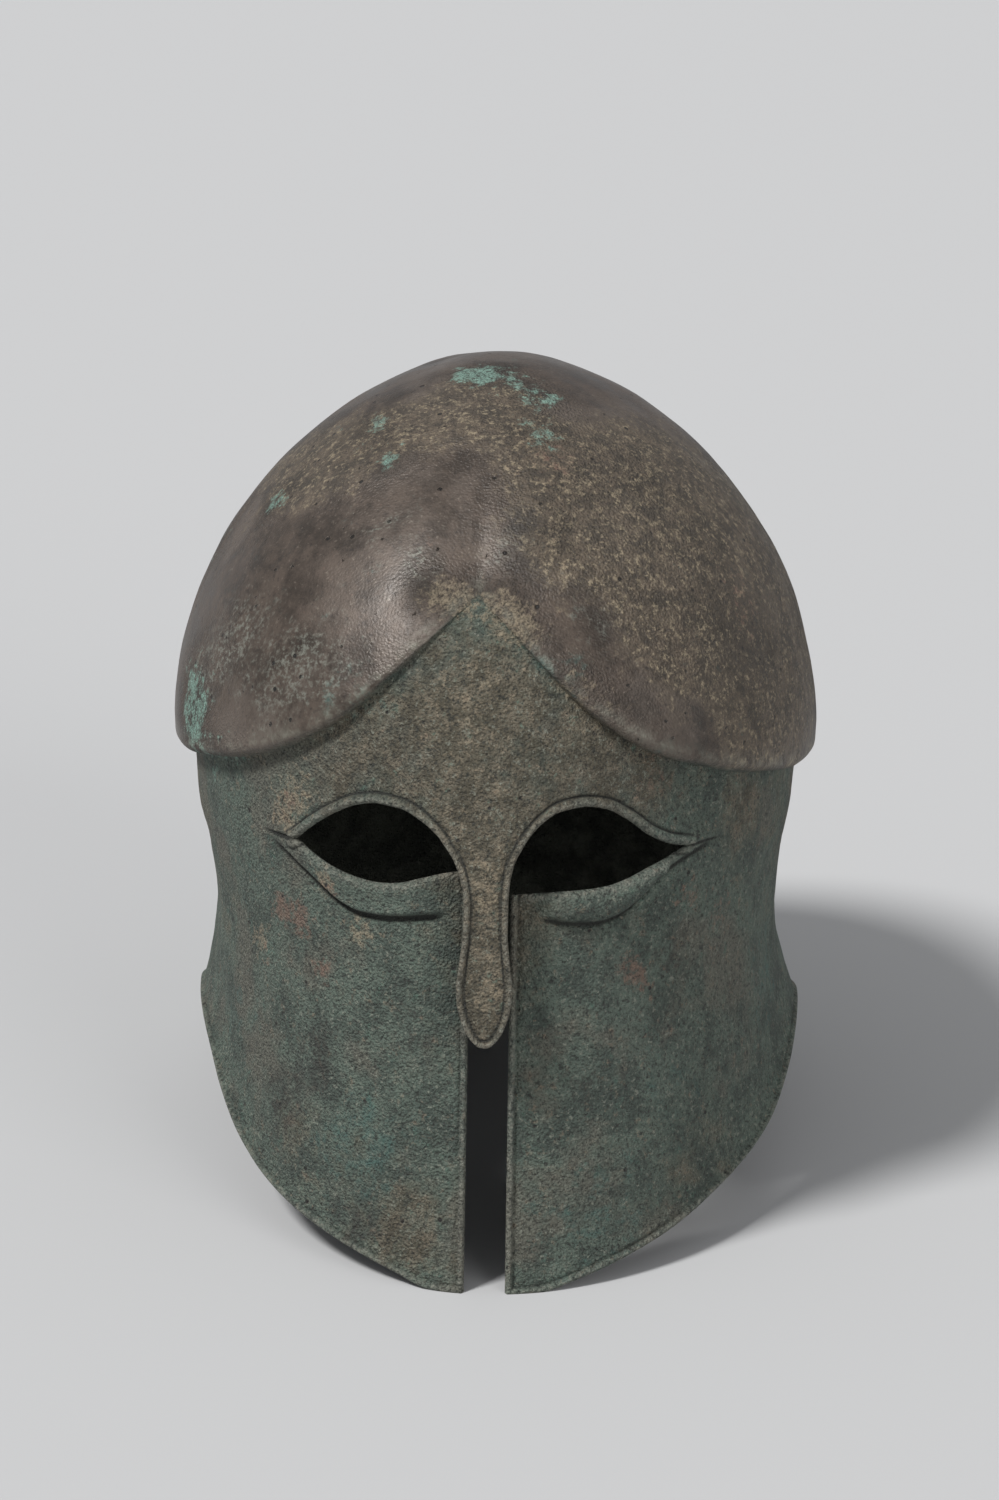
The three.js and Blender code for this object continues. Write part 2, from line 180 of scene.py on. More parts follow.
def along(rows, name, x):
    """Monotone cubic curve through one column of a table, held level beyond its ends.

    Each slope is the weighted harmonic mean of its neighbours' slopes, or 0 where they change sign.
    """
    xs, ys = rows[next(iter(rows))], rows[name]
    span = np.diff(xs)
    rise = np.diff(ys) / span
    slope = np.concatenate([rise[:1], np.zeros(len(xs) - 2), rise[-1:]])
    w1, w2 = 2 * span[1:] + span[:-1], span[1:] + 2 * span[:-1]
    same = rise[:-1] * rise[1:] > 0
    slope[1:-1][same] = ((w1 + w2)[same]
                         / (w1[same] / rise[:-1][same] + w2[same] / rise[1:][same]))
    at = np.clip(x, xs[0], xs[-1])
    i = np.clip(np.searchsorted(xs, at, side="left") - 1, 0, len(xs) - 2)
    t = (at - xs[i]) / span[i]
    start = (2 * t**3 - 3 * t**2 + 1) * ys[i] + (t**3 - 2 * t**2 + t) * span[i] * slope[i]
    return start + (3 * t**2 - 2 * t**3) * ys[i + 1] + (t**3 - t**2) * span[i] * slope[i + 1]


def by_side(rows, angle, name=""):
    """The same, from a table with a column for each side of the face."""
    left = along(rows, name + "left", np.abs(angle))
    right = along(rows, name + "right", np.abs(angle))
    return np.where(np.asarray(angle) < 0, left, right)


def skull_edge(name, angle):
    """Height of the skull's overhanging edge, or its ledge over the face, by the turn from the peak."""
    return along(SKULL_EDGE, name, np.abs((angle - PEAK + 180) % 360 - 180))


def face_angle(x):
    """Angle of a place on the face, x millimetres across."""
    return np.degrees(np.arcsin(np.asarray(x) / FACE_RADIUS))


SLOT_ANGLE = float(face_angle(SLOT_HALF))
SEAM_LEFT = float(face_angle(NASAL["left"][-1]))
SEAM_RIGHT = float(face_angle(NASAL["right"][-1]))
SEAM_TOPS = [float(by_side(LIDS, seam, "upper_")) for seam in (SEAM_LEFT, SEAM_RIGHT)]


def mid_height(angle):
    """Level behind the eye's corner, easing from the corner's own height to MID_HEIGHT."""
    corner = by_side(LIDS, np.sign(angle) * EYE_CORNER, "upper_")
    share = (np.abs(angle) - EYE_CORNER) / (180 - EYE_CORNER)
    return corner + (MID_HEIGHT - corner) * smooth(share * MID_EASE)


def brow_foot(angle):
    """Lower limit of the brow: the upper lids, the top of the nasal, or the level behind the eyes."""
    angle = np.asarray(angle, float)
    centre = np.interp(angle, [SEAM_LEFT, SEAM_RIGHT], SEAM_TOPS)
    lid = by_side(LIDS, angle, "upper_")
    inside = (angle > SEAM_LEFT) & (angle < SEAM_RIGHT)
    return np.where(inside, centre, np.where(np.abs(angle) <= EYE_CORNER, lid, mid_height(angle)))


def cheek_top(angle):
    """Upper limit of the cheek guards: the lower lids, or the level behind the eyes."""
    lid = by_side(LIDS, angle, "lower_")
    return np.where(np.abs(angle) < EYE_CORNER, lid, mid_height(angle))


nasal_width = (NASAL["right"] - NASAL["left"])[4]
print("the slot is", 2 * SLOT_HALF, "mm wide, the nasal", round(nasal_width, 1), "mm above its tip")

# %% [markdown]
# ## The surface
#
# The wall is an oval in plan, a little wider on one side than on the other, as hand work is. Above its base
# the skull closes like a dome. The nape flares out towards its lip, the brow and the nasal reach forward,
# and the skull stands out over the face by its ledge. One function gives any place on the outer face.


# %% The outer face
def skull_share(latitude):
    """Share of its base width that the skull keeps: cos(latitude) ** SKULL_ROUND."""
    return np.abs(np.cos(latitude)) ** SKULL_ROUND


def skull_height(latitude):
    """Height on the skull: base + (top - base) * sin(latitude) ** SKULL_RISE."""
    return SKULL_BASE + (SKULL_TOP - SKULL_BASE) * np.sin(latitude) ** SKULL_RISE


def latitude_of(height):
    """The skull's latitude at a height, 0 on the wall below it."""
    share = np.clip((height - SKULL_BASE) / (SKULL_TOP - SKULL_BASE), 0, 1)
    return np.arcsin(share ** (1 / SKULL_RISE))


def wall_radius(angle, height):
    """Distance of the plain wall from the axis.

    radius = (|sin a / side|^p + |cos a / depth|^p) ^ (-1/p), with its own side left and right,
    and its own depth and power in front and behind.
    """
    turn = np.radians(angle)
    front = np.cos(turn) > 0
    side = np.where(angle < 0, along(PLAN, "left", height), along(PLAN, "right", height))
    ahead, behind = AXIS_Y - along(PLAN, "front", height), along(PLAN, "back", height) - AXIS_Y
    depth = np.where(front, ahead, behind)
    power = np.where(front, FRONT_POWER, BACK_POWER)
    across = np.abs(np.sin(turn) / side) ** power
    return (across + np.abs(np.cos(turn) / depth) ** power) ** (-1 / power)


def flare_out(angle, height):
    """How far the flare stands out: out * (1 - climb / fade) ** FLARE_POWER."""
    climb = (height - by_side(RIM, angle)) / along(FLARE, "fade", np.abs(angle))
    return along(FLARE, "out", np.abs(angle)) * np.clip(1 - climb, 0, 1.3) ** FLARE_POWER


def outer_face(angle, height, latitude=None, ledge=0.0, ridge=True):
    """Points of the sheet's outer face, before its lips and marks.

    radius = (wall + flare + ledge) * share
    x = radius sin a,  y = axis + lean - radius cos a - reach,  z = height
    """
    angle, height = np.broadcast_arrays(np.asarray(angle, float), np.asarray(height, float))
    share = skull_share(latitude_of(height) if latitude is None else latitude)
    radius = (wall_radius(angle, height) + flare_out(angle, height) + ledge) * share
    turn = np.radians(angle)
    x = radius * np.sin(turn)
    lean = (SKULL_TOP_Y - AXIS_Y) * (1 - share)
    fade = np.clip(1 - (x / REACH_HALF) ** 2, 0, None) ** 3
    reach = np.where(ridge & (np.cos(turn) > 0), along(REACH, "forward", height) * fade, 0)
    return np.stack([x, AXIS_Y + lean - radius * np.cos(turn) - reach, height], axis=-1)


print("the brow's middle is at", np.round(outer_face(0, 150), 1), "mm")

# %% [markdown]
# ## The lines worked into the sheet
#
# The smith turned up a narrow bead along the eyes, the nasal and every rim, which stiffens a thin edge. A
# chased line sets off each lower lid as a raised band, and short creases run on from the outer corners.
# Each is a height added to the face, by a point's distance from the line it follows.


# %% Edge lines and distances
def chain(*spans):
    """Joins spans of points into one line and leaves out points that repeat."""
    line = np.concatenate(spans)
    apart = np.linalg.norm(np.diff(line, axis=0), axis=1) > 1e-6
    return line[np.concatenate([[True], apart])]


def lid_line(start, stop):
    """The upper lid between two angles."""
    angle = np.linspace(start, stop, 30)
    return outer_face(angle, brow_foot(angle))


def nasal_side(name):
    """One side edge of the nasal, from its tip up."""
    height = np.linspace(NASAL_TIP, NASAL["height"][-1], 40)
    return outer_face(face_angle(along(NASAL, name, height)), height)


def rim_line(side):
    """Front and lower edge of one half: down the slot and round to the nape."""
    top = float(by_side(LIDS, side * SLOT_ANGLE, "lower_"))
    angle = side * np.linspace(SLOT_ANGLE, 180, 110)
    slot = outer_face(side * SLOT_ANGLE, np.linspace(top, 0, 40), ridge=False)
    return chain(slot, outer_face(angle, by_side(RIM, angle), ridge=False))


def lower_lid(side):
    """Free upper edge of a cheek guard, from the slot to the eye's outer corner."""
    angle = side * np.linspace(SLOT_ANGLE, EYE_CORNER, 40)
    return outer_face(angle, by_side(LIDS, angle, "lower_"), ridge=False)


def distance_to(lines, points):
    """Shortest distance from each point to the straight segments of the lines."""
    best = np.full(len(points), np.inf)
    for line in lines:
        for start, step in zip(line[:-1], np.diff(line, axis=0)):
            share = np.clip((points - start) @ step / (step @ step), 0, 1)
            away = points - start - share[:, None] * step
            best = np.minimum(best, np.sqrt((away * away).sum(axis=1)))
    return best


BROW_LINE = chain(lid_line(-EYE_CORNER, SEAM_LEFT), nasal_side("left")[::-1],
                  nasal_side("right"), lid_line(SEAM_RIGHT, EYE_CORNER))
RIMS, LOWER_LIDS = [rim_line(-1), rim_line(1)], [lower_lid(-1), lower_lid(1)]
runs = [np.linalg.norm(np.diff(line, axis=0), axis=1).sum() for line in [BROW_LINE, *RIMS]]
print("the bead runs for", round(float(sum(runs))), "mm")


# %% Sizes of the lips and lines
LID_LIP = 2.6  # width of the raised bead along the upper lids
NASAL_LIP = 1.7  # and along the nasal
RIM_LIP = 1.7  # and along the rims and the slot
LIP_HEIGHT = 1.15
RIM_SHARE = 0.8  # the rims' bead is lower, by this share
ROUNDING = 0.9  # the bead is rounded off this far from the edge
LINE_GAP, LINE_WIDTH, LINE_DEPTH = 0.3, 0.5, 0.4  # the shallow line behind a bead
GROOVE_WIDTH = 0.9  # of the chased line under a lower lid
GROOVE_DEPTHS = 1.0, 0.75  # left and right
LID_BAND = 1.9  # how far the lower lid stands out
STEP_GAP, STEP_RISE = 0.5, 1.4  # it starts so far above the chased line and comes up over so much
RIDGE_FOOT, RIDGE_CREST = 0.35, 1.05  # shares of LID_BAND in the right lid's step and in its round ridge
CORNER_WIDTH, CORNER_DEPTH = 0.6, 0.7  # the cut beyond the eye's outer corner
FOLD_RISE, FOLD_WIDTH = 1.5, 1.3  # the fold above that cut
print("the right lower lid stands out up to", round(LID_BAND * (RIDGE_FOOT + RIDGE_CREST), 1), "mm")


# %% Heights added to the face
def window(turn, start, rise, stop, fall):
    """1 between two angles: it comes up over `rise` degrees from `start` and is gone again at `stop`."""
    return smooth((turn - start) / rise) * smooth((stop - turn) / fall)


def line_behind(distance, width):
    """The line that sets off a lip: exp(-(away / LINE_WIDTH)^2) just behind it."""
    return np.exp(-((distance - width - LINE_GAP) / LINE_WIDTH) ** 2)


def bead(distance, width):
    """A rounded lip: full just inside the edge, lower at the edge itself, with a line behind it."""
    lip = LIP_HEIGHT * np.sqrt(np.clip(1 - (distance / width) ** 2, 0, 1))
    rounded = 0.5 * LIP_HEIGHT * np.clip(1 - distance / ROUNDING, 0, 1) ** 2
    return lip - rounded - LINE_DEPTH * line_behind(distance, width)


def chased_line(angle, height):
    """The line cut under each lower lid: exp(-(away / GROOVE_WIDTH)^2), fading at its ends."""
    depth = np.where(angle < 0, *GROOVE_DEPTHS)
    away = height - by_side(GROOVE, angle)
    return depth * window(np.abs(angle), 6, 3, 40, 5) * np.exp(-(away / GROOVE_WIDTH) ** 2)


def lid_band(angle, height):
    """The lower lid's band, from the chased line up to the lid.

    On the left a flat step that runs out to the corner and gets lower towards it. On the right a low step
    with a round ridge on it, 1 - (2t - 1)^2 at the share t of its width, that ends short of the corner.
    """
    turn, foot = np.abs(angle), by_side(GROOVE, angle)
    step = smooth((height - foot - STEP_GAP) / STEP_RISE)
    share = np.clip((height - foot) / np.maximum(by_side(LIDS, angle, "lower_") - foot, 1), 0, 1)
    flat = step * window(turn, 5, 4, 40, 6) * (1 - 0.45 * smooth((turn - 18) / 10))
    ridge = RIDGE_FOOT * step + RIDGE_CREST * (1 - (2 * share - 1) ** 2)
    ridge *= window(turn, 6.5, 3, 29, 2.5)
    return LID_BAND * np.where(angle < 0, flat, ridge) - chased_line(angle, height)


def corner_line(angle, height):
    """The level cut that runs on from the eye's outer corner, and each point's height above it."""
    above = height - by_side(LIDS, np.sign(angle) * EYE_CORNER, "upper_")
    fades = window(np.abs(angle), EYE_CORNER - 1, 2, EYE_CORNER + 11, 8)
    return fades * np.exp(-(above / CORNER_WIDTH) ** 2), above


def corner_fold(angle, height):
    """The upper lid's lip runs on above that cut: exp(-((above - FOLD_RISE) / FOLD_WIDTH)^2)."""
    cut, above = corner_line(angle, height)
    fades = window(np.abs(angle), EYE_CORNER - 1, 2, EYE_CORNER + 10, 8)
    fold = LIP_HEIGHT * fades * np.exp(-((above - FOLD_RISE) / FOLD_WIDTH) ** 2)
    return fold - CORNER_DEPTH * cut


print("a lip stands out by", round(float(bead(np.array(1.0), RIM_LIP)), 2), "mm")

# %% [markdown]
# ## Marks of the hammer, and what the ground did
#
# Hammering leaves shallow facets a thumb wide. Corrosion then raised a thin uneven crust on the face and
# ate small pits into it. Both come from a cloud of random numbers, one every few millimetres, blended
# smoothly between them. A fixed seed gives the same helmet every time.


# %% A smooth random cloud
def cloud(points, size, seed):
    """A smooth random value from -1 to 1 at each point.

    A lattice holds one random number every `size` millimetres. The eight round a point are mixed in the
    shares (1 - t) and t along each axis, with t = 3t^2 - 2t^3.
    """
    lattice = np.random.default_rng(seed).uniform(-1, 1, (32, 32, 32))
    place = points / size + 64
    cell = np.floor(place).astype(int)
    t = smooth(place - cell)
    total = np.zeros(len(points))
    for corner in np.ndindex(2, 2, 2):
        share = np.where(corner, t, 1 - t).prod(axis=1)
        i, j, k = ((cell + corner) % 32).T
        total += share * lattice[i, j, k]
    return total


HAMMER = [(21, 0.45, 3), (10, 0.2, 4)]  # clouds of hammer marks: size in mm, depth and seed
CRUST = [(9.0, 1.0, 11), (4.5, 0.6, 12), (2.4, 0.45, 13)]  # clouds of crust: size, share and seed


def hammer_marks(points):
    """Depth of the hammer marks: each cloud's depth times smooth(0.5 + cloud), added together."""
    return sum(depth * smooth(0.5 + cloud(points, size, seed)) for size, depth, seed in HAMMER)


def crust(points):
    """Uneven crust from -1 to 1: the clouds added together by their shares."""
    total = sum(share for _, share, _ in CRUST)
    return sum(share * cloud(points, size, seed) for size, share, seed in CRUST) / total


print("hammer marks are up to", sum(depth for _, depth, _ in HAMMER), "mm deep")

# %% [markdown]
# ## Where each mineral lies
#
# Turquoise lies at the crown and down the left edge, dusty crust on the right of the skull and high on its
# left, and pale frost below that. Tan earth hugs the peak, brown earth the brow and the nasal, red oxide
# the upper cheeks and blue-green carbonate the lower ones. Dark stains lie all over, and a few deep pits in
# front. Each is a few soft round patches, so that the shape and the finish can both use them.

# %% Table of the minerals: angle and height of a patch's middle, its reach in mm, and how much in percent
MINERALS = {
    "turquoise": [[-5, 252, 10, 90], [-26, 252, 8, 80], [18, 247, 10, 75], [12, 239, 11, 60],
        [-49, 238, 9, 70], [-29, 230, 5, 90], [-37, 234, 8, 50], [-61, 213, 8, 95], [-54, 172, 10, 50],
        [-65, 159, 13, 100], [-58, 152, 10, 90], [-48, 151, 8, 80], [42, 211, 14, 30], [-58, 134, 16, 40],
        [-100, 170, 22, 70], [-85, 200, 16, 50], [-140, 190, 26, 60], [-125, 225, 18, 50],
        [150, 160, 24, 60], [110, 210, 22, 50], [90, 165, 22, 50], [180, 235, 20, 60], [-175, 120, 26, 50],
        [105, 110, 22, 45]],
    "dust": [[-45, 230, 20, 80], [-60, 222, 14, 70], [-25, 241, 15, 70], [-5, 247, 18, 70],
        [-80, 225, 20, 70], [14, 234, 18, 70], [20, 222, 20, 90], [35, 224, 20, 100], [60, 222, 26, 100],
        [10, 210, 12, 70], [25, 203, 18, 80], [42, 200, 22, 90], [30, 182, 17, 80], [52, 180, 24, 80],
        [72, 198, 30, 80], [45, 160, 18, 80], [70, 165, 28, 70], [100, 190, 30, 60], [140, 215, 34, 80],
        [180, 190, 34, 80], [-150, 215, 28, 70], [-120, 170, 26, 60], [120, 160, 30, 70],
        [160, 150, 24, 50]],
    "frost": [[-48, 181, 13, 70], [-54, 173, 13, 70], [-36, 170, 15, 70], [-30, 179, 12, 50],
        [-24, 174, 12, 50], [-64, 163, 14, 70], [-22, 214, 9, 50], [-14, 206, 8, 50], [16, 190, 10, 50],
        [2, 212, 8, 60], [-100, 182, 22, 60], [130, 190, 26, 60], [-160, 175, 24, 60], [80, 215, 20, 50]],
    "tan": [[-7, 199, 6, 100], [1, 198, 7, 100], [5, 191, 6, 90], [11, 178, 5, 70], [-11, 200, 6, 70],
        [-42, 151, 6, 80], [19, 226, 8, 70], [9.5, 212.5, 4.5, 100], [12, 217, 3.5, 80], [35, 226, 10, 60],
        [39, 188, 8, 70], [-35, 134, 8, 90], [-31, 142, 10, 60], [-3, 149, 22, 40], [-3, 178, 18, 50],
        [15, 171, 10, 60], [0, 120, 14, 60], [0, 92, 13, 70], [-26, 116, 6, 100], [-20, 103, 7, 100],
        [-44, 92, 7, 100], [-7, 111, 7, 70], [-9, 90, 7, 60], [23, 92, 6, 50], [120, 150, 24, 50],
        [170, 220, 26, 60], [-150, 130, 24, 60], [90, 100, 18, 50], [-100, 75, 18, 50], [150, 70, 22, 50]],
    "earth": [[-3, 168, 28, 100], [-24, 153, 20, 70], [20, 157, 24, 80], [0, 128, 20, 80],
        [0, 102, 16, 90], [0, 84, 13, 90], [-9, 70, 10, 50], [-14, 22, 20, 60], [-32, 34, 16, 50],
        [36, 30, 20, 50], [-60, 100, 18, 40], [48, 132, 22, 60], [80, 120, 26, 60], [-85, 125, 24, 60],
        [120, 70, 28, 60], [-125, 65, 30, 60], [160, 110, 32, 70], [-165, 75, 28, 50]],
    "red": [[-37, 104, 6, 100], [-31.5, 103, 5, 100], [-27, 90, 5, 90], [-25, 114, 4, 70],
        [-35, 136, 6, 60], [26, 148, 8, 50], [22, 93, 5, 90], [24, 88, 4, 60], [33, 111, 6, 60],
        [42, 104, 9, 50], [-42, 88, 6, 50], [26, 76, 6, 40], [14, 233, 10, 50], [50, 190, 12, 50],
        [-90, 100, 12, 50], [130, 80, 12, 60], [-160, 90, 12, 50], [100, 180, 16, 50]],
    "teal": [[-20, 39, 19, 80], [-53, 67, 20, 55], [4, 37, 12, 70], [17, 18, 22, 60], [65, 74, 20, 60],
        [-6, 55, 10, 60], [-40, 105, 20, 30], [30, 60, 24, 40], [-21, 170, 12, 50], [9, 180, 10, 60],
        [100, 90, 30, 60], [-110, 85, 32, 60], [180, 80, 34, 60]],
    "stain": [[4.5, 217.5, 7, 100], [46, 183, 24, 60], [-62, 192, 14, 50], [30, 158, 14, 50],
        [-45, 205, 12, 50], [150, 200, 20, 70], [-120, 210, 20, 70], [100, 150, 20, 60], [-27, 62, 14, 60],
        [-38, 46, 14, 60], [-12, 78, 10, 60], [-20, 18, 12, 60], [30, 95, 14, 50], [14, 60, 12, 50],
        [40, 60, 14, 50], [-110, 110, 22, 60], [170, 90, 24, 60]],
    "pit": [[6.4, 216, 2.6, 100], [4.5, 210, 1.8, 70], [8.5, 209.5, 1.4, 70]],
}


def spread(rows, points):
    """Sum of a round patch for each row: percent / 100 * exp(-(distance / reach)^2), 1 at most."""
    total = np.zeros(len(points))
    for angle, height, reach, percent in rows:
        away = points - outer_face(angle, height)
        total += percent / 100 * np.exp(-(away * away).sum(axis=1) / reach**2)
    return np.clip(total, 0, 1)


print("minerals:", {name: len(rows) for name, rows in MINERALS.items()})

# %% [markdown]
# ## Patches of the sheet
#
# Five patches of rows and columns cover the sheet: two cheek guards, the nasal, the brow and the skull.
# Their rows crowd together beside the free edges, where the lip is only a few millimetres wide. Each count
# is even, so that the plain inner face can take every second row and column.

# %% Rows and columns
EDGE_BAND = 4.5  # width of the crowded rows beside a free edge
CENTRE_COLUMNS, EYE_COLUMNS, BACK_COLUMNS, SLOT_COLUMNS = 24, 56, 96, 66
CHEEK_ROWS, LID_ROWS, BROW_ROWS, NASAL_ROWS, LEDGE_ROWS, SKULL_ROWS = 120, 38, 38, 60, 8, 66
LID_SPAN = 15.0  # height of the crowded rows under a lower lid


def crowded(length, count, first=12, last=0):
    """Shares of a span: `first` steps in the EDGE_BAND, even steps, `last` steps in the LID_SPAN."""
    low = np.minimum(EDGE_BAND / length, 0.3)[..., None]
    high = 1 - np.minimum(LID_SPAN / length, 0.3)[..., None] * (last > 0)
    start = low * np.arange(first) / first
    middle = low + (high - low) * np.arange(count - first - last + 1) / (count - first - last)
    end = high + (1 - high) * np.arange(1, last + 1) / max(last, 1)
    return np.concatenate([start, middle, end], axis=-1)


def back_span(side):
    """Columns behind the eye's corner, closer together beside it: share ** 1.25."""
    share = (np.arange(1, BACK_COLUMNS + 1) / BACK_COLUMNS) ** 1.25
    return side * (EYE_CORNER + (180 - EYE_CORNER) * share)


def centre_shares():
    """Columns across the nasal, closer together beside its two lips."""
    t = np.linspace(0, 1, CENTRE_COLUMNS + 1)
    return t - 0.11 * np.sin(2 * pi * t)


def ring_angles():
    """All the way round, from the nape by the left side and the face back to the nape."""
    centre = SEAM_LEFT + (SEAM_RIGHT - SEAM_LEFT) * centre_shares()
    left_eye = np.linspace(SEAM_LEFT, -EYE_CORNER, EYE_COLUMNS + 1)[1:]
    right_eye = np.linspace(SEAM_RIGHT, EYE_CORNER, EYE_COLUMNS + 1)[1:]
    left = np.concatenate([left_eye, back_span(-1)])[::-1]
    return np.concatenate([left, centre, right_eye, back_span(1)])


print("columns all the way round:", len(ring_angles()))


# %% The five patches
def patch(angle, height, **given):
    """A grid of values for each of a point's properties: plain wall, unless `given` says otherwise."""
    values = {"angle": angle, "height": height, "latitude": latitude_of(height), "ledge": 0.0,
              "ridge": True, "wall": WALL, "skull": 0.0, **given}
    return {name: np.broadcast_to(value, height.shape).copy() for name, value in values.items()}


def cheek_patch(side):
    """One cheek guard with its half of the neck guard, from the rim up to the lower lid."""
    width = np.array(np.radians(EYE_CORNER) * FACE_RADIUS)
    front = SLOT_ANGLE + (EYE_CORNER - SLOT_ANGLE) * crowded(width, SLOT_COLUMNS)
    angle = np.concatenate([side * front, back_span(side)])
    angle = angle[::-1] if side < 0 else angle
    foot, top = by_side(RIM, angle), cheek_top(angle)
    height = foot[:, None] + (top - foot)[:, None] * crowded(top - foot, CHEEK_ROWS, last=LID_ROWS)
    return patch(angle[:, None], height, ridge=False)


def brow_patch():
    """From the upper lids and the level behind the eyes up to the skull's edge."""
    angle = ring_angles()
    foot, top = brow_foot(angle), skull_edge("height", angle)
    height = foot[:, None] + (top - foot)[:, None] * crowded(top - foot, BROW_ROWS)
    return patch(angle[:, None], height)


def nasal_patch():
    """From the tip up to the seam with the brow, thickest at the tip."""
    length = NASAL["height"][-1] - NASAL_TIP
    rise = crowded(np.array(length), NASAL_ROWS)
    across = centre_shares()[:, None]
    seam = SEAM_TOPS[0] + (SEAM_TOPS[1] - SEAM_TOPS[0]) * across
    point = 0.5 * (2 * across - 1) ** 2 * (1 - rise) ** 8
    height = NASAL_TIP + (seam - NASAL_TIP) * rise + point
    level = NASAL_TIP + length * rise
    left, right = face_angle(along(NASAL, "left", level)), face_angle(along(NASAL, "right", level))
    wall = NASAL_WALL + (WALL - NASAL_WALL) * smooth(rise)
    return patch(left + (right - left) * across, height, wall=wall)


def skull_patch():
    """A quarter turn from the face out to the skull's edge, and the dome above it.

    height = edge + R (1 - cos t), ledge = L sin t over the quarter turn; then equal steps of latitude.
    The ledge is nothing at the peak, and the dome above it fills out again without a crease:
    (ledge^4 + fill^4)^(1/4).
    """
    angle = ring_angles()
    edge, out = skull_edge("height", angle)[:, None], skull_edge("ledge", angle)[:, None]
    turn = np.linspace(0, pi / 2, LEDGE_ROWS + 1)
    low = edge + LEDGE_RADIUS * (1 - np.cos(turn))
    start = latitude_of(edge + LEDGE_RADIUS)
    climb = np.arange(1, SKULL_ROWS + 1) / SKULL_ROWS
    latitude = start + (pi / 2 - start) * climb
    height = np.concatenate([low, skull_height(latitude)], axis=1)
    filled = (out**4 + (PEAK_FILL * smooth(climb / FILL_CLIMB)) ** 4) ** 0.25
    ledge = np.concatenate([out * np.sin(turn), filled], axis=1)
    whole = np.concatenate([latitude_of(low), latitude], axis=1)
    skull = np.concatenate([smooth(turn / 1.2) * np.ones_like(low), np.ones_like(latitude)], axis=1)
    return patch(angle[:, None], height, latitude=whole, ledge=ledge, skull=skull)


patches = [cheek_patch(-1), cheek_patch(1), nasal_patch(), brow_patch(), skull_patch()]
print("patches:", [grid["angle"].shape for grid in patches])

# %% [markdown]
# ## One sheet from the patches
#
# Points that two patches share become one point, so the sheet has no seams. The faces then give each point
# the direction it faces, in which a lip stands out and the sheet has its thickness.


# %% Weld the patches
WELD = 0.002  # points that round to the same step of this size are one


def weld(patches):
    """Joins the points that patches share. Returns each point's values, and the grids as point numbers."""
    flat = {name: np.concatenate([grid[name].ravel() for grid in patches]) for name in patches[0]}
    points = outer_face(flat["angle"], flat["height"], flat["latitude"], flat["ledge"], flat["ridge"])
    _, first, index = np.unique(np.round(points / WELD).astype(int), axis=0, return_index=True,
                                return_inverse=True)
    sheet = {name: values[first] for name, values in flat.items()}
    sheet["point"] = points[first]
    stops = np.cumsum([grid["angle"].size for grid in patches])
    runs = np.split(index.ravel(), stops[:-1])
    grids = [run.reshape(grid["angle"].shape) for run, grid in zip(runs, patches)]
    return sheet, grids


def grid_faces(grid):
    """Two triangles for each cell of a grid, without those that have closed to a line."""
    a, b, c, d = grid[:-1, :-1], grid[1:, :-1], grid[1:, 1:], grid[:-1, 1:]
    faces = np.concatenate([np.stack([a, b, c], axis=-1).reshape(-1, 3),
                            np.stack([a, c, d], axis=-1).reshape(-1, 3)])
    apart = (faces != np.roll(faces, 1, axis=1)).all(axis=1)
    return faces[apart]


def point_normals(points, faces):
    """Each point's direction: the sum of its faces' area vectors, made one long."""
    a, b, c = points[faces].transpose(1, 0, 2)
    area = np.cross(b - a, c - a)
    normals = np.zeros_like(points)
    for corner in faces.T:
        np.add.at(normals, corner, area)
    return normals / np.maximum(np.linalg.norm(normals, axis=1), 1e-12)[:, None]


def border(grids):
    """Free edges, as triples of points (start, middle, end), each with the sheet on its left."""
    runs = []
    for grid in grids:
        runs += [grid[:, 0], grid[-1, :], grid[::-1, -1], grid[0, ::-1]]
    triples = np.concatenate([np.stack([run[:-2:2], run[1:-1:2], run[2::2]], axis=1) for run in runs])
    triples = triples[triples[:, 0] != triples[:, 2]]
    count = int(triples.max()) + 1
    there, back = triples[:, 0] * count + triples[:, 2], triples[:, 2] * count + triples[:, 0]
    return triples[~np.isin(there, back)]


sheet, grids = weld(patches)
outer = np.concatenate([grid_faces(grid) for grid in grids])
coarse = np.concatenate([grid_faces(grid[::2, ::2]) for grid in grids])
free = border(grids)
print(len(sheet["point"]), "points,", len(outer), "outer faces,", len(free), "pairs of free edges")

# %% [markdown]
# ## Lips, marks and crust on the sheet
#
# The hammer marks bend the whole sheet, inside and out. The lips, the lid bands and the crust stand on its
# outer face only. Marks only press in, so the helmet never grows past its own size.

# %% Bend the sheet with hammer marks
EDGE_CALM = 5.0  # the marks fade out over this much beside a free edge

base = sheet["point"]
normals = point_normals(base, outer)
near_brow, near_rim, near_lid = (distance_to(lines, base) for lines in ([BROW_LINE], RIMS, LOWER_LIDS))
near_edge = np.min([near_brow, near_rim, near_lid], axis=0)
base = base - normals * (hammer_marks(base) * smooth((near_edge - 1) / EDGE_CALM))[:, None]
normals = point_normals(base, outer)
minerals = {name: spread(rows, base) for name, rows in MINERALS.items()}
print("the nearest edge is up to", round(float(near_edge.max())), "mm away")

# %% Raise the lips, bands and crust
CRUST_HEIGHT, PIT_DEPTH = 0.24, 0.7
EDGE_DROP = 0.35  # the cheek guards' upper edges are rounded by this much

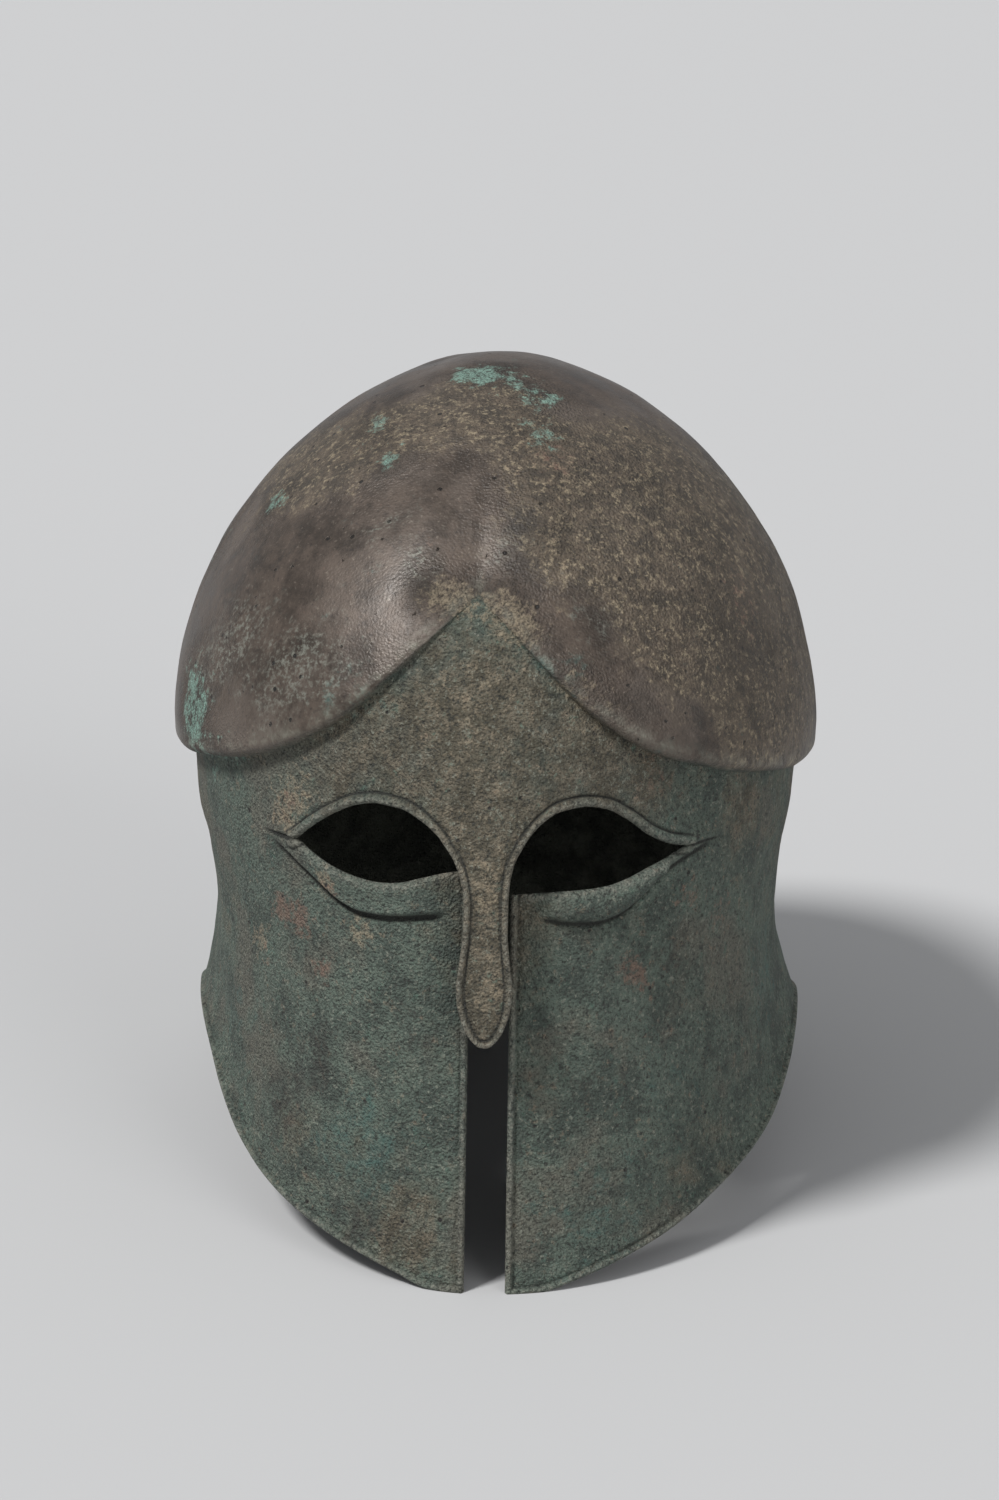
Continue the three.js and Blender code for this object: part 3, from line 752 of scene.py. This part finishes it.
angle, height, skull = sheet["angle"], sheet["height"], sheet["skull"]
on_face = height < SKULL_BASE
behind_eye = np.abs(angle) > EYE_CORNER - 1
brow_lip = NASAL_LIP + (LID_LIP - NASAL_LIP) * smooth((np.abs(angle) - 5) / 7)
lips = bead(near_brow, brow_lip) * on_face
lips = np.where(near_rim < near_brow, RIM_SHARE * bead(near_rim, RIM_LIP), lips)
lips = np.where(behind_eye, np.maximum(lips, 0) + corner_fold(angle, height), lips)
bands = np.where(sheet["ridge"], 0, lid_band(angle, height))
drop = EDGE_DROP * np.clip(1 - near_lid / 0.8, 0, 1) ** 2
rough = 1 - 0.8 * skull * (1 - np.maximum(minerals["tan"], 0.6 * minerals["dust"]))
grains = CRUST_HEIGHT * (crust(base) - 0.5) * rough * (0.3 + 0.7 * smooth(near_edge / 3))
pits = PIT_DEPTH * smooth((minerals["pit"] - 0.55) / 0.4)
relief = lips + bands + grains - drop - pits
print("relief from", round(float(relief.min()), 2), "to", round(float(relief.max()), 2), "mm")

# %% Find the cut lines, which the finish darkens as painted shade
broken = smooth(0.5 + cloud(base, 14, 6))
# Painted shade: how strongly the finish darkens each point along the cut lines, kept as the mark "cut".
shaded_cuts = np.max([
    chased_line(angle, height) * ~sheet["ridge"],
    0.7 * line_behind(near_brow, brow_lip) * on_face,
    0.45 * broken * line_behind(near_rim, RIM_LIP),
    corner_line(angle, height)[0] * on_face * behind_eye,
], axis=0)
print("points in a cut line:", int((shaded_cuts > 0.5).sum()))

# %% [markdown]
# ## Thickness
#
# The sheet gets an inner face one wall behind the outer one. Along every free edge a rounded strip joins
# them: outer point, a point half way that bulges a little, and inner point.


# %% Close the sheet
EDGE_BULGE = 0.35  # how far the strip's middle bulges


def edge_outward(points, normals, triples):
    """At each free point, the direction out of the sheet: edge direction x the way it faces."""
    out = np.zeros_like(points)
    for start, stop in ((0, 1), (1, 2)):
        step = points[triples[:, stop]] - points[triples[:, start]]
        for end in (start, stop):
            index = triples[:, end]
            np.add.at(out, index, np.cross(step, normals[index]))
    return out / np.maximum(np.linalg.norm(out, axis=1), 1e-12)[:, None]


def close(base, normals, relief, wall, outer, coarse, free):
    """Outer face, inner face and rounded edge as one closed body.

    Returns too which point of the sheet each point comes from, and its layer: 0 outside, 1 inside, 2 edge.
    """
    count = len(base)
    outside = base + normals * relief[:, None]
    inside = base - normals * wall[:, None]
    middle = (outside + inside) / 2 + EDGE_BULGE * edge_outward(base, normals, free)
    p, q, r = free.T
    mp, mq, mr = free.T + 2 * count
    ip, ir = p + count, r + count
    strips = [(q, p, mp), (q, mp, mq), (r, q, mq), (r, mq, mr),
              (mq, mp, ip), (mq, ip, ir), (mr, mq, ir)]
    faces = np.concatenate([outer, coarse[:, ::-1] + count]
                           + [np.stack(strip, axis=1) for strip in strips])
    used, faces = np.unique(faces, return_inverse=True)
    points = np.concatenate([outside, inside, middle])
    return points[used], faces.reshape(-1, 3), used % count, used // count


points, faces, source, layer = close(base, normals, relief, sheet["wall"], outer, coarse, free)
print(len(points), "points,", len(faces), "triangles")

# %% [markdown]
# ## Standing on its feet
#
# Set down on a table the helmet leans back until the lip of its nape touches, and stands on that lip and
# its two cheek tips. Those three places are worn flat. The points then go into one mesh, in metres, and
# what the finish has to know about each goes with it as attributes.


# %% Stand the helmet up
def stand_up(points):
    """Leans points back: y' = y cos t + z sin t, z' = z cos t - y sin t."""
    x, y, z = points.T
    return np.stack([x, y * cos(LEAN) + z * sin(LEAN), z * cos(LEAN) - y * sin(LEAN)], axis=1)


standing = stand_up(points) - [0, 0, FOOT_WEAR]
shift = (cad_low + cad_high)[:2] / 2 / MM - (standing.min(axis=0) + standing.max(axis=0))[:2] / 2
standing[:, :2] += shift
standing[:, 2] = np.maximum(standing[:, 2], 0)
print("it stands", np.round(np.ptp(standing, axis=0), 1), "mm")


# %% Make the helmet's mesh
def add(name, data):
    """Puts a mesh, a light or a camera into the scene as an object."""
    thing = bpy.data.objects.new(name, data)
    bpy.context.collection.objects.link(thing)
    return thing


helmet_mesh = bpy.data.meshes.new("bronze_helmet")
helmet_mesh.from_pydata((standing * MM).tolist(), [], faces.tolist())
helmet_mesh.polygons.foreach_set("use_smooth", np.ones(len(faces), bool))
marks = {
    "inside": (layer == 1).astype(float),
    "skull": skull[source],
    "lip": np.exp(-(np.maximum(near_edge - 0.7, 0) / 0.9) ** 2)[source],
    # cut: where the finish paints shade along the cut lines
    "cut": shaded_cuts[source],
    "ledge": np.exp(-((height - skull_edge("height", angle) - LEDGE_RADIUS) / 2.2) ** 2)[source],
}
marks.update({name: values[source] for name, values in minerals.items()})
for name, values in marks.items():
    attribute = helmet_mesh.attributes.new(name, "FLOAT", "POINT")
    attribute.data.foreach_set("value", values.astype(np.float32))
helmet_mesh.update()
helmet = add("bronze_helmet", helmet_mesh)
print("helmet:", len(helmet_mesh.polygons), "triangles")

# %% [markdown]
# ## The patina
#
# Old bronze is a stack of thin layers. Smooth brown-mauve oxide lies lowest and still shows a soft gloss on
# the skull. Green and grey-brown carbonates cover the face, with tan earth, red copper oxide, teal and
# turquoise flecks on them. Each layer is one mix over the layer below. Its mask adds a cloud of grains to
# a mark kept on the helmet and keeps only what is high enough, so a patch thins out into single grains.

# %% Small tools for the shader
bronze = bpy.data.materials.new("bronze_patina")
bronze.use_nodes = True
nodes, links = bronze.node_tree.nodes, bronze.node_tree.links
shader = nodes["Principled BSDF"]
place = nodes.new("ShaderNodeTexCoord").outputs["Object"]


def mark(name):
    """A value kept on the helmet's points."""
    node = nodes.new("ShaderNodeAttribute")
    node.attribute_name = name
    return node.outputs["Fac"]


def grain(size_mm, detail, rough, offset=0.0):
    """Cloudy noise with lumps of `size_mm` and finer ones in them, halving `detail` times."""
    moved = nodes.new("ShaderNodeMapping")
    moved.inputs["Location"].default_value = (offset, offset * 0.7, offset * 1.3)
    links.new(place, moved.inputs["Vector"])
    node = nodes.new("ShaderNodeTexNoise")
    links.new(moved.outputs["Vector"], node.inputs["Vector"])
    node.inputs["Scale"].default_value = 1 / (size_mm * MM)
    node.inputs["Detail"].default_value = detail
    node.inputs["Roughness"].default_value = rough
    return node.outputs["Fac"]


def cells(size_mm):
    """Distance to the nearest of scattered points about `size_mm` apart."""
    node = nodes.new("ShaderNodeTexVoronoi")
    node.inputs["Scale"].default_value = 1 / (size_mm * MM)
    links.new(place, node.inputs["Vector"])
    return node.outputs["Distance"]


def feed(socket, value):
    """Links another socket to this one, or sets it to a number or a colour."""
    if isinstance(value, bpy.types.NodeSocket):
        links.new(value, socket)
    else:
        socket.default_value = (*value, 1) if isinstance(value, tuple) else value


def combine(kind, first, second):
    """One arithmetic step between two values or sockets."""
    node = nodes.new("ShaderNodeMath")
    node.operation = kind
    feed(node.inputs[0], first)
    feed(node.inputs[1], second)
    return node.outputs[0]


def between(value, low, high, to_low=0.0, to_high=1.0):
    """Maps low..high to to_low..to_high with soft ends."""
    node = nodes.new("ShaderNodeMapRange")
    node.interpolation_type = "SMOOTHSTEP"
    links.new(value, node.inputs["Value"])
    for name, number in (("From Min", low), ("From Max", high), ("To Min", to_low), ("To Max", to_high)):
        node.inputs[name].default_value = number
    return node.outputs["Result"]


def mix(mask, below, above, kind="RGBA"):
    """Lays a colour, or a value, over another by a mask."""
    node = nodes.new("ShaderNodeMix")
    node.data_type = kind
    carried = "VALUE" if kind == "FLOAT" else kind
    first, second = [socket for socket in node.inputs if socket.type == carried][-2:]
    links.new(mask, node.inputs["Factor"])
    feed(first, below)
    feed(second, above)
    return next(socket for socket in node.outputs if socket.type == carried)


def times(first, second):
    """Product of two masks."""
    return combine("MULTIPLY", first, second)


def zone(name, noise, low, high, weight=1.0):
    """Where a mineral lies, ragged as the cloud is: between(weight * mark + noise, low, high).

    A light mark leaves the shape to the cloud, so a patch breaks into flecks towards its border.
    """
    return between(combine("ADD", times(mark(name), weight), noise), low, high)


print("marks to read:", sorted(marks))


# %% Clouds of grains, from 40 mm down to half a millimetre
drift = grain(40, 5, 0.62)
mottle = grain(14, 7, 0.70, offset=0.31)
scab = grain(6, 6, 0.74, offset=0.77)
flake = grain(3, 5, 0.75, offset=4.1)
speckle = grain(1.5, 4, 0.70, offset=1.7)
sand = grain(0.7, 2, 0.60, offset=2.3)
print("nodes for the clouds:", len(nodes))

# %% Colours of the skull
OXIDE, DARK_OXIDE, PALE_OXIDE = (0.086, 0.064, 0.049), (0.036, 0.027, 0.020), (0.104, 0.082, 0.066)
DUST, DARK_DUST, DUST_GRAIN = (0.120, 0.092, 0.064), (0.052, 0.042, 0.030), (0.285, 0.232, 0.155)
PALE_SPECK, DARK_SPECK, FROST = (0.210, 0.175, 0.140), (0.024, 0.019, 0.016), (0.205, 0.212, 0.178)

dusty = zone("dust", mottle, 0.62, 0.90, 0.6)
dust_tone = mix(between(scab, 0.40, 0.60), DARK_DUST, DUST)
dust_grains = times(times(dusty, between(flake, 0.46, 0.58)), between(speckle, 0.47, 0.60, 0, 0.85))
frost = times(zone("frost", scab, 0.56, 0.92, 0.36), between(speckle, 0.46, 0.62, 0, 0.75))
oxide = mix(between(mottle, 0.36, 0.64), DARK_OXIDE, OXIDE)
oxide = mix(between(drift, 0.48, 0.66), oxide, PALE_OXIDE)
oxide = mix(between(speckle, 0.58, 0.72, 0, 0.5), oxide, PALE_SPECK)
oxide = mix(times(dusty, 0.8), oxide, dust_tone)
oxide = mix(dust_grains, oxide, DUST_GRAIN)
oxide = mix(frost, oxide, FROST)
oxide = mix(between(speckle, 0.44, 0.32, 0, 0.6), oxide, DARK_SPECK)
print("nodes so far:", len(nodes))

# %% Colours of the face
GREEN, DARK_GREEN, OLIVE = (0.104, 0.136, 0.108), (0.056, 0.074, 0.060), (0.128, 0.118, 0.092)
EARTH, DARK_EARTH, EARTH_FLAKE = (0.152, 0.130, 0.092), (0.076, 0.066, 0.044), (0.205, 0.168, 0.118)
GREEN_FLAKE, GREY_SPECK, SHADE = (0.085, 0.150, 0.112), (0.230, 0.240, 0.195), (0.022, 0.025, 0.020)

green = mix(between(mottle, 0.38, 0.58), DARK_GREEN, GREEN)
green = mix(between(drift, 0.52, 0.64, 0, 0.7), green, OLIVE)
brown = mix(between(scab, 0.42, 0.60), DARK_EARTH, EARTH)
tan_flakes = times(between(flake, 0.54, 0.66), between(scab, 0.44, 0.56, 0, 0.7))
green_flakes = times(between(flake, 0.46, 0.36), between(scab, 0.50, 0.60, 0, 0.7))
carbonate = mix(zone("earth", mottle, 0.58, 0.86, 0.42), green, brown)
carbonate = mix(tan_flakes, carbonate, EARTH_FLAKE)
carbonate = mix(green_flakes, carbonate, GREEN_FLAKE)
carbonate = mix(between(speckle, 0.54, 0.68, 0, 0.75), carbonate, GREY_SPECK)
carbonate = mix(between(speckle, 0.47, 0.34, 0, 0.85), carbonate, SHADE)
print("nodes so far:", len(nodes))

# %% Minerals over both: mark, cloud, where it starts and is full, weight, strength and colour
grainy = between(speckle, 0.36, 0.56, 0.1, 0.75)
flecked = between(speckle, 0.36, 0.54, 0.2, 0.9)
LAYERS = [
    ("stain", scab, 0.62, 0.86, 0.42, 0.75, (0.030, 0.026, 0.022)),
    ("teal", scab, 0.62, 0.86, 0.32, 0.65, (0.058, 0.128, 0.112)),
    ("tan", flake, 0.66, 0.86, 0.36, grainy, (0.285, 0.232, 0.158)),
    ("turquoise", scab, 0.70, 0.82, 0.32, flecked, (0.215, 0.345, 0.285)),
    ("red", flake, 0.62, 0.82, 0.34, 0.55, (0.230, 0.130, 0.094)),
]
patina = mix(mark("skull"), carbonate, oxide)
for name, noise, low, high, weight, strength, colour in LAYERS:
    patina = mix(times(zone(name, noise, low, high, weight), strength), patina, colour)
print("laid on:", [row[0] for row in LAYERS])

# %% Painted shade in hollows, pits and cut lines, and wear
# HOLLOW_SHADE, PINHOLE_SHADE and CUT_SHADE are dark colours painted as shade in the hollows, the pits and
# the cut lines.
HOLLOW_SHADE, PINHOLE_SHADE, CUT_SHADE = (0.022, 0.021, 0.017), (0.016, 0.014, 0.012), (0.014, 0.015, 0.012)
WORN_LIP, WORN_LEDGE = (0.230, 0.226, 0.188), (0.200, 0.195, 0.155)
INSIDE, DARK_INSIDE = (0.100, 0.108, 0.082), (0.040, 0.044, 0.034)

crusty = combine("ADD", combine("SUBTRACT", 1.0, mark("skull")), times(mark("dust"), 0.5))
crusty = combine("MINIMUM", 1.0, combine("ADD", crusty, combine("ADD", mark("tan"), mark("turquoise"))))
# Painted shade: the colour darkens where the sand-fine grains of the bump are low.
shaded_hollows = times(between(sand, 0.48, 0.30), mix(crusty, 0.15, 0.7, "FLOAT"))
pinholes = times(between(cells(5.5), 0.16, 0.08), between(scab, 0.50, 0.58))
worn = times(mark("lip"), between(speckle, 0.36, 0.66, 0.05, 0.60))
worn_ledge = times(mark("ledge"), between(scab, 0.40, 0.66, 0.0, 0.55))
patina = mix(shaded_hollows, patina, HOLLOW_SHADE)
# Painted shade: the pits, pressed in by the bump and by the mesh, are coloured near-black.
patina = mix(combine("MAXIMUM", pinholes, between(mark("pit"), 0.55, 0.9)), patina, PINHOLE_SHADE)
patina = mix(worn, patina, WORN_LIP)
# Painted shade along the cut lines.
patina = mix(between(mark("cut"), 0.1, 0.7, 0, 0.92), patina, CUT_SHADE)
patina = mix(worn_ledge, patina, WORN_LEDGE)
patina = mix(mark("inside"), patina, mix(between(mottle, 0.40, 0.62), DARK_INSIDE, INSIDE))
links.new(patina, shader.inputs["Base Color"])
print("the colour is built from", len(nodes), "nodes")

# %% [markdown]
# ## Gloss and grain
#
# Oxide that was once polished keeps a soft gloss, while crust is dull as dry earth. Sand-fine grains and
# small pits cover the face, and they almost vanish on the smooth left half of the skull. They are too
# small for the mesh, so a bump gives them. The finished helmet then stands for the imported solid.

# %% Roughness and fine relief
polished, earthy = between(mottle, 0.35, 0.65, 0.36, 0.46), between(speckle, 0.3, 0.7, 0.72, 0.92)
gloss = mix(crusty, polished, earthy, "FLOAT")
links.new(mix(mark("inside"), gloss, 0.85, "FLOAT"), shader.inputs["Roughness"])
links.new(mix(crusty, 0.30, 0.0, "FLOAT"), shader.inputs["Metallic"])

fine = combine("ADD", times(sand, 0.9), times(speckle, 0.5))
coarse_grain = combine("ADD", times(between(cells(1.0), 0.75, 0.10), 0.30), times(scab, 0.25))
raised = times(combine("ADD", fine, coarse_grain), mix(crusty, 0.03, 1.0, "FLOAT"))
raised = combine("SUBTRACT", raised, times(pinholes, 0.4))
bump = nodes.new("ShaderNodeBump")
bump.inputs["Distance"].default_value = 1.8 * MM
bump.inputs["Strength"].default_value = 1.0
links.new(raised, bump.inputs["Height"])
links.new(bump.outputs["Normal"], shader.inputs["Normal"])
helmet_mesh.materials.append(bronze)
print("the whole finish has", len(nodes), "nodes")

# %% Place the helmet in the part
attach(helmet, "root")
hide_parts("helmet_shell")

# %% [markdown]
# ## Floor, light and camera
#
# A pale floor, a soft light high on the left and a weaker one on the right, as in a small studio. The
# camera looks at the face from a little above the brow. Its place is given for the upright helmet and
# leaned back with it, so that it sees the face at the same angle while the helmet stands on its own feet.

# %% Floor
FLOOR_HALF = 40.0  # metres, so that its edge is never seen

corners = [(x * FLOOR_HALF, y * FLOOR_HALF, 0) for x, y in ((-1, -1), (1, -1), (1, 1), (-1, 1))]
floor_mesh = bpy.data.meshes.new("floor")
floor_mesh.from_pydata(corners, [], [(0, 1, 2, 3)])
floor = add("floor", floor_mesh)
paper = bpy.data.materials.new("floor_paper")
paper.use_nodes = True
paper_shader = paper.node_tree.nodes["Principled BSDF"]
paper_shader.inputs["Base Color"].default_value = (0.47, 0.47, 0.47, 1)
paper_shader.inputs["Roughness"].default_value = 0.85
floor_mesh.materials.append(paper)
print("the floor is", 2 * FLOOR_HALF, "m wide")


# %% Lights
def soft_sun(name, place, width, power):
    """Even light from the direction of `place`, as soft as a lamp `width` degrees across."""
    data = bpy.data.lights.new(name, "SUN")
    data.angle, data.energy = radians(width), power
    light = add(name, data)
    x, y, z = place
    light.rotation_euler = (atan2(np.hypot(x, y), z), 0, atan2(y, x) + pi / 2)
    light.location = place


soft_sun("key_light", (-0.85, -0.55, 1.45), 12, 3.2)
soft_sun("fill_light", (0.9, -1.2, 0.6), 35, 0.9)
world = bpy.data.worlds.new("studio")
world.use_nodes = True
sky = world.node_tree.nodes["Background"]
sky.inputs["Color"].default_value = (0.94, 0.96, 1.0, 1)
sky.inputs["Strength"].default_value = 0.40
bpy.context.scene.world = world
bpy.context.scene.view_settings.view_transform = "Standard"
print("lights:", [light.name for light in bpy.data.lights])

# %% Where the camera stands
CAMERA_UP = radians(12.0)  # above the upright helmet's level
CAMERA_TURN = radians(0.6)  # the helmet is turned this much from the camera
CAMERA_ROLL = radians(0.9)
CAMERA_AWAY = 1500.0  # from the cheek tips, in millimetres
CAMERA_RIGHT, CAMERA_LIFT = 3.19, 156.6  # moves the helmet to its place in the picture
SENSOR = 36  # millimetres
FOCUS = 3.48  # focal length as a share of the picture's long side

across = np.array([cos(CAMERA_TURN), sin(CAMERA_TURN), 0])
level = np.array([-sin(CAMERA_TURN), cos(CAMERA_TURN), 0])
forward = level * cos(CAMERA_UP) - np.array([0, 0, sin(CAMERA_UP)])
upward = level * sin(CAMERA_UP) + np.array([0, 0, cos(CAMERA_UP)])
right = across * cos(CAMERA_ROLL) + upward * sin(CAMERA_ROLL)
top = upward * cos(CAMERA_ROLL) - across * sin(CAMERA_ROLL)
aim = np.array([0, AXIS_Y, 0]) - level * AXIS_Y
spot = aim - forward * CAMERA_AWAY + right * CAMERA_RIGHT + top * CAMERA_LIFT
turned = stand_up(np.array([spot, spot + right, spot + top, spot - forward]))
turned[:, 2] -= FOOT_WEAR
turned[:, :2] += shift
print("camera looks along", np.round(turned[0] - turned[3], 3))

# %% Place the camera
camera_data = bpy.data.cameras.new("camera")
camera_data.sensor_width = SENSOR
camera_data.sensor_fit = "AUTO"
camera_data.lens = SENSOR * FOCUS
camera = add("camera", camera_data)
axes = np.eye(4)
axes[:3, :3] = (turned[1:] - turned[0]).T
axes[:3, 3] = turned[0] * MM
camera.matrix_world = Matrix(axes.tolist())
bpy.context.scene.camera = camera
print("camera at", np.round(turned[0] * MM, 3), "m, lens", round(camera_data.lens, 1), "mm")
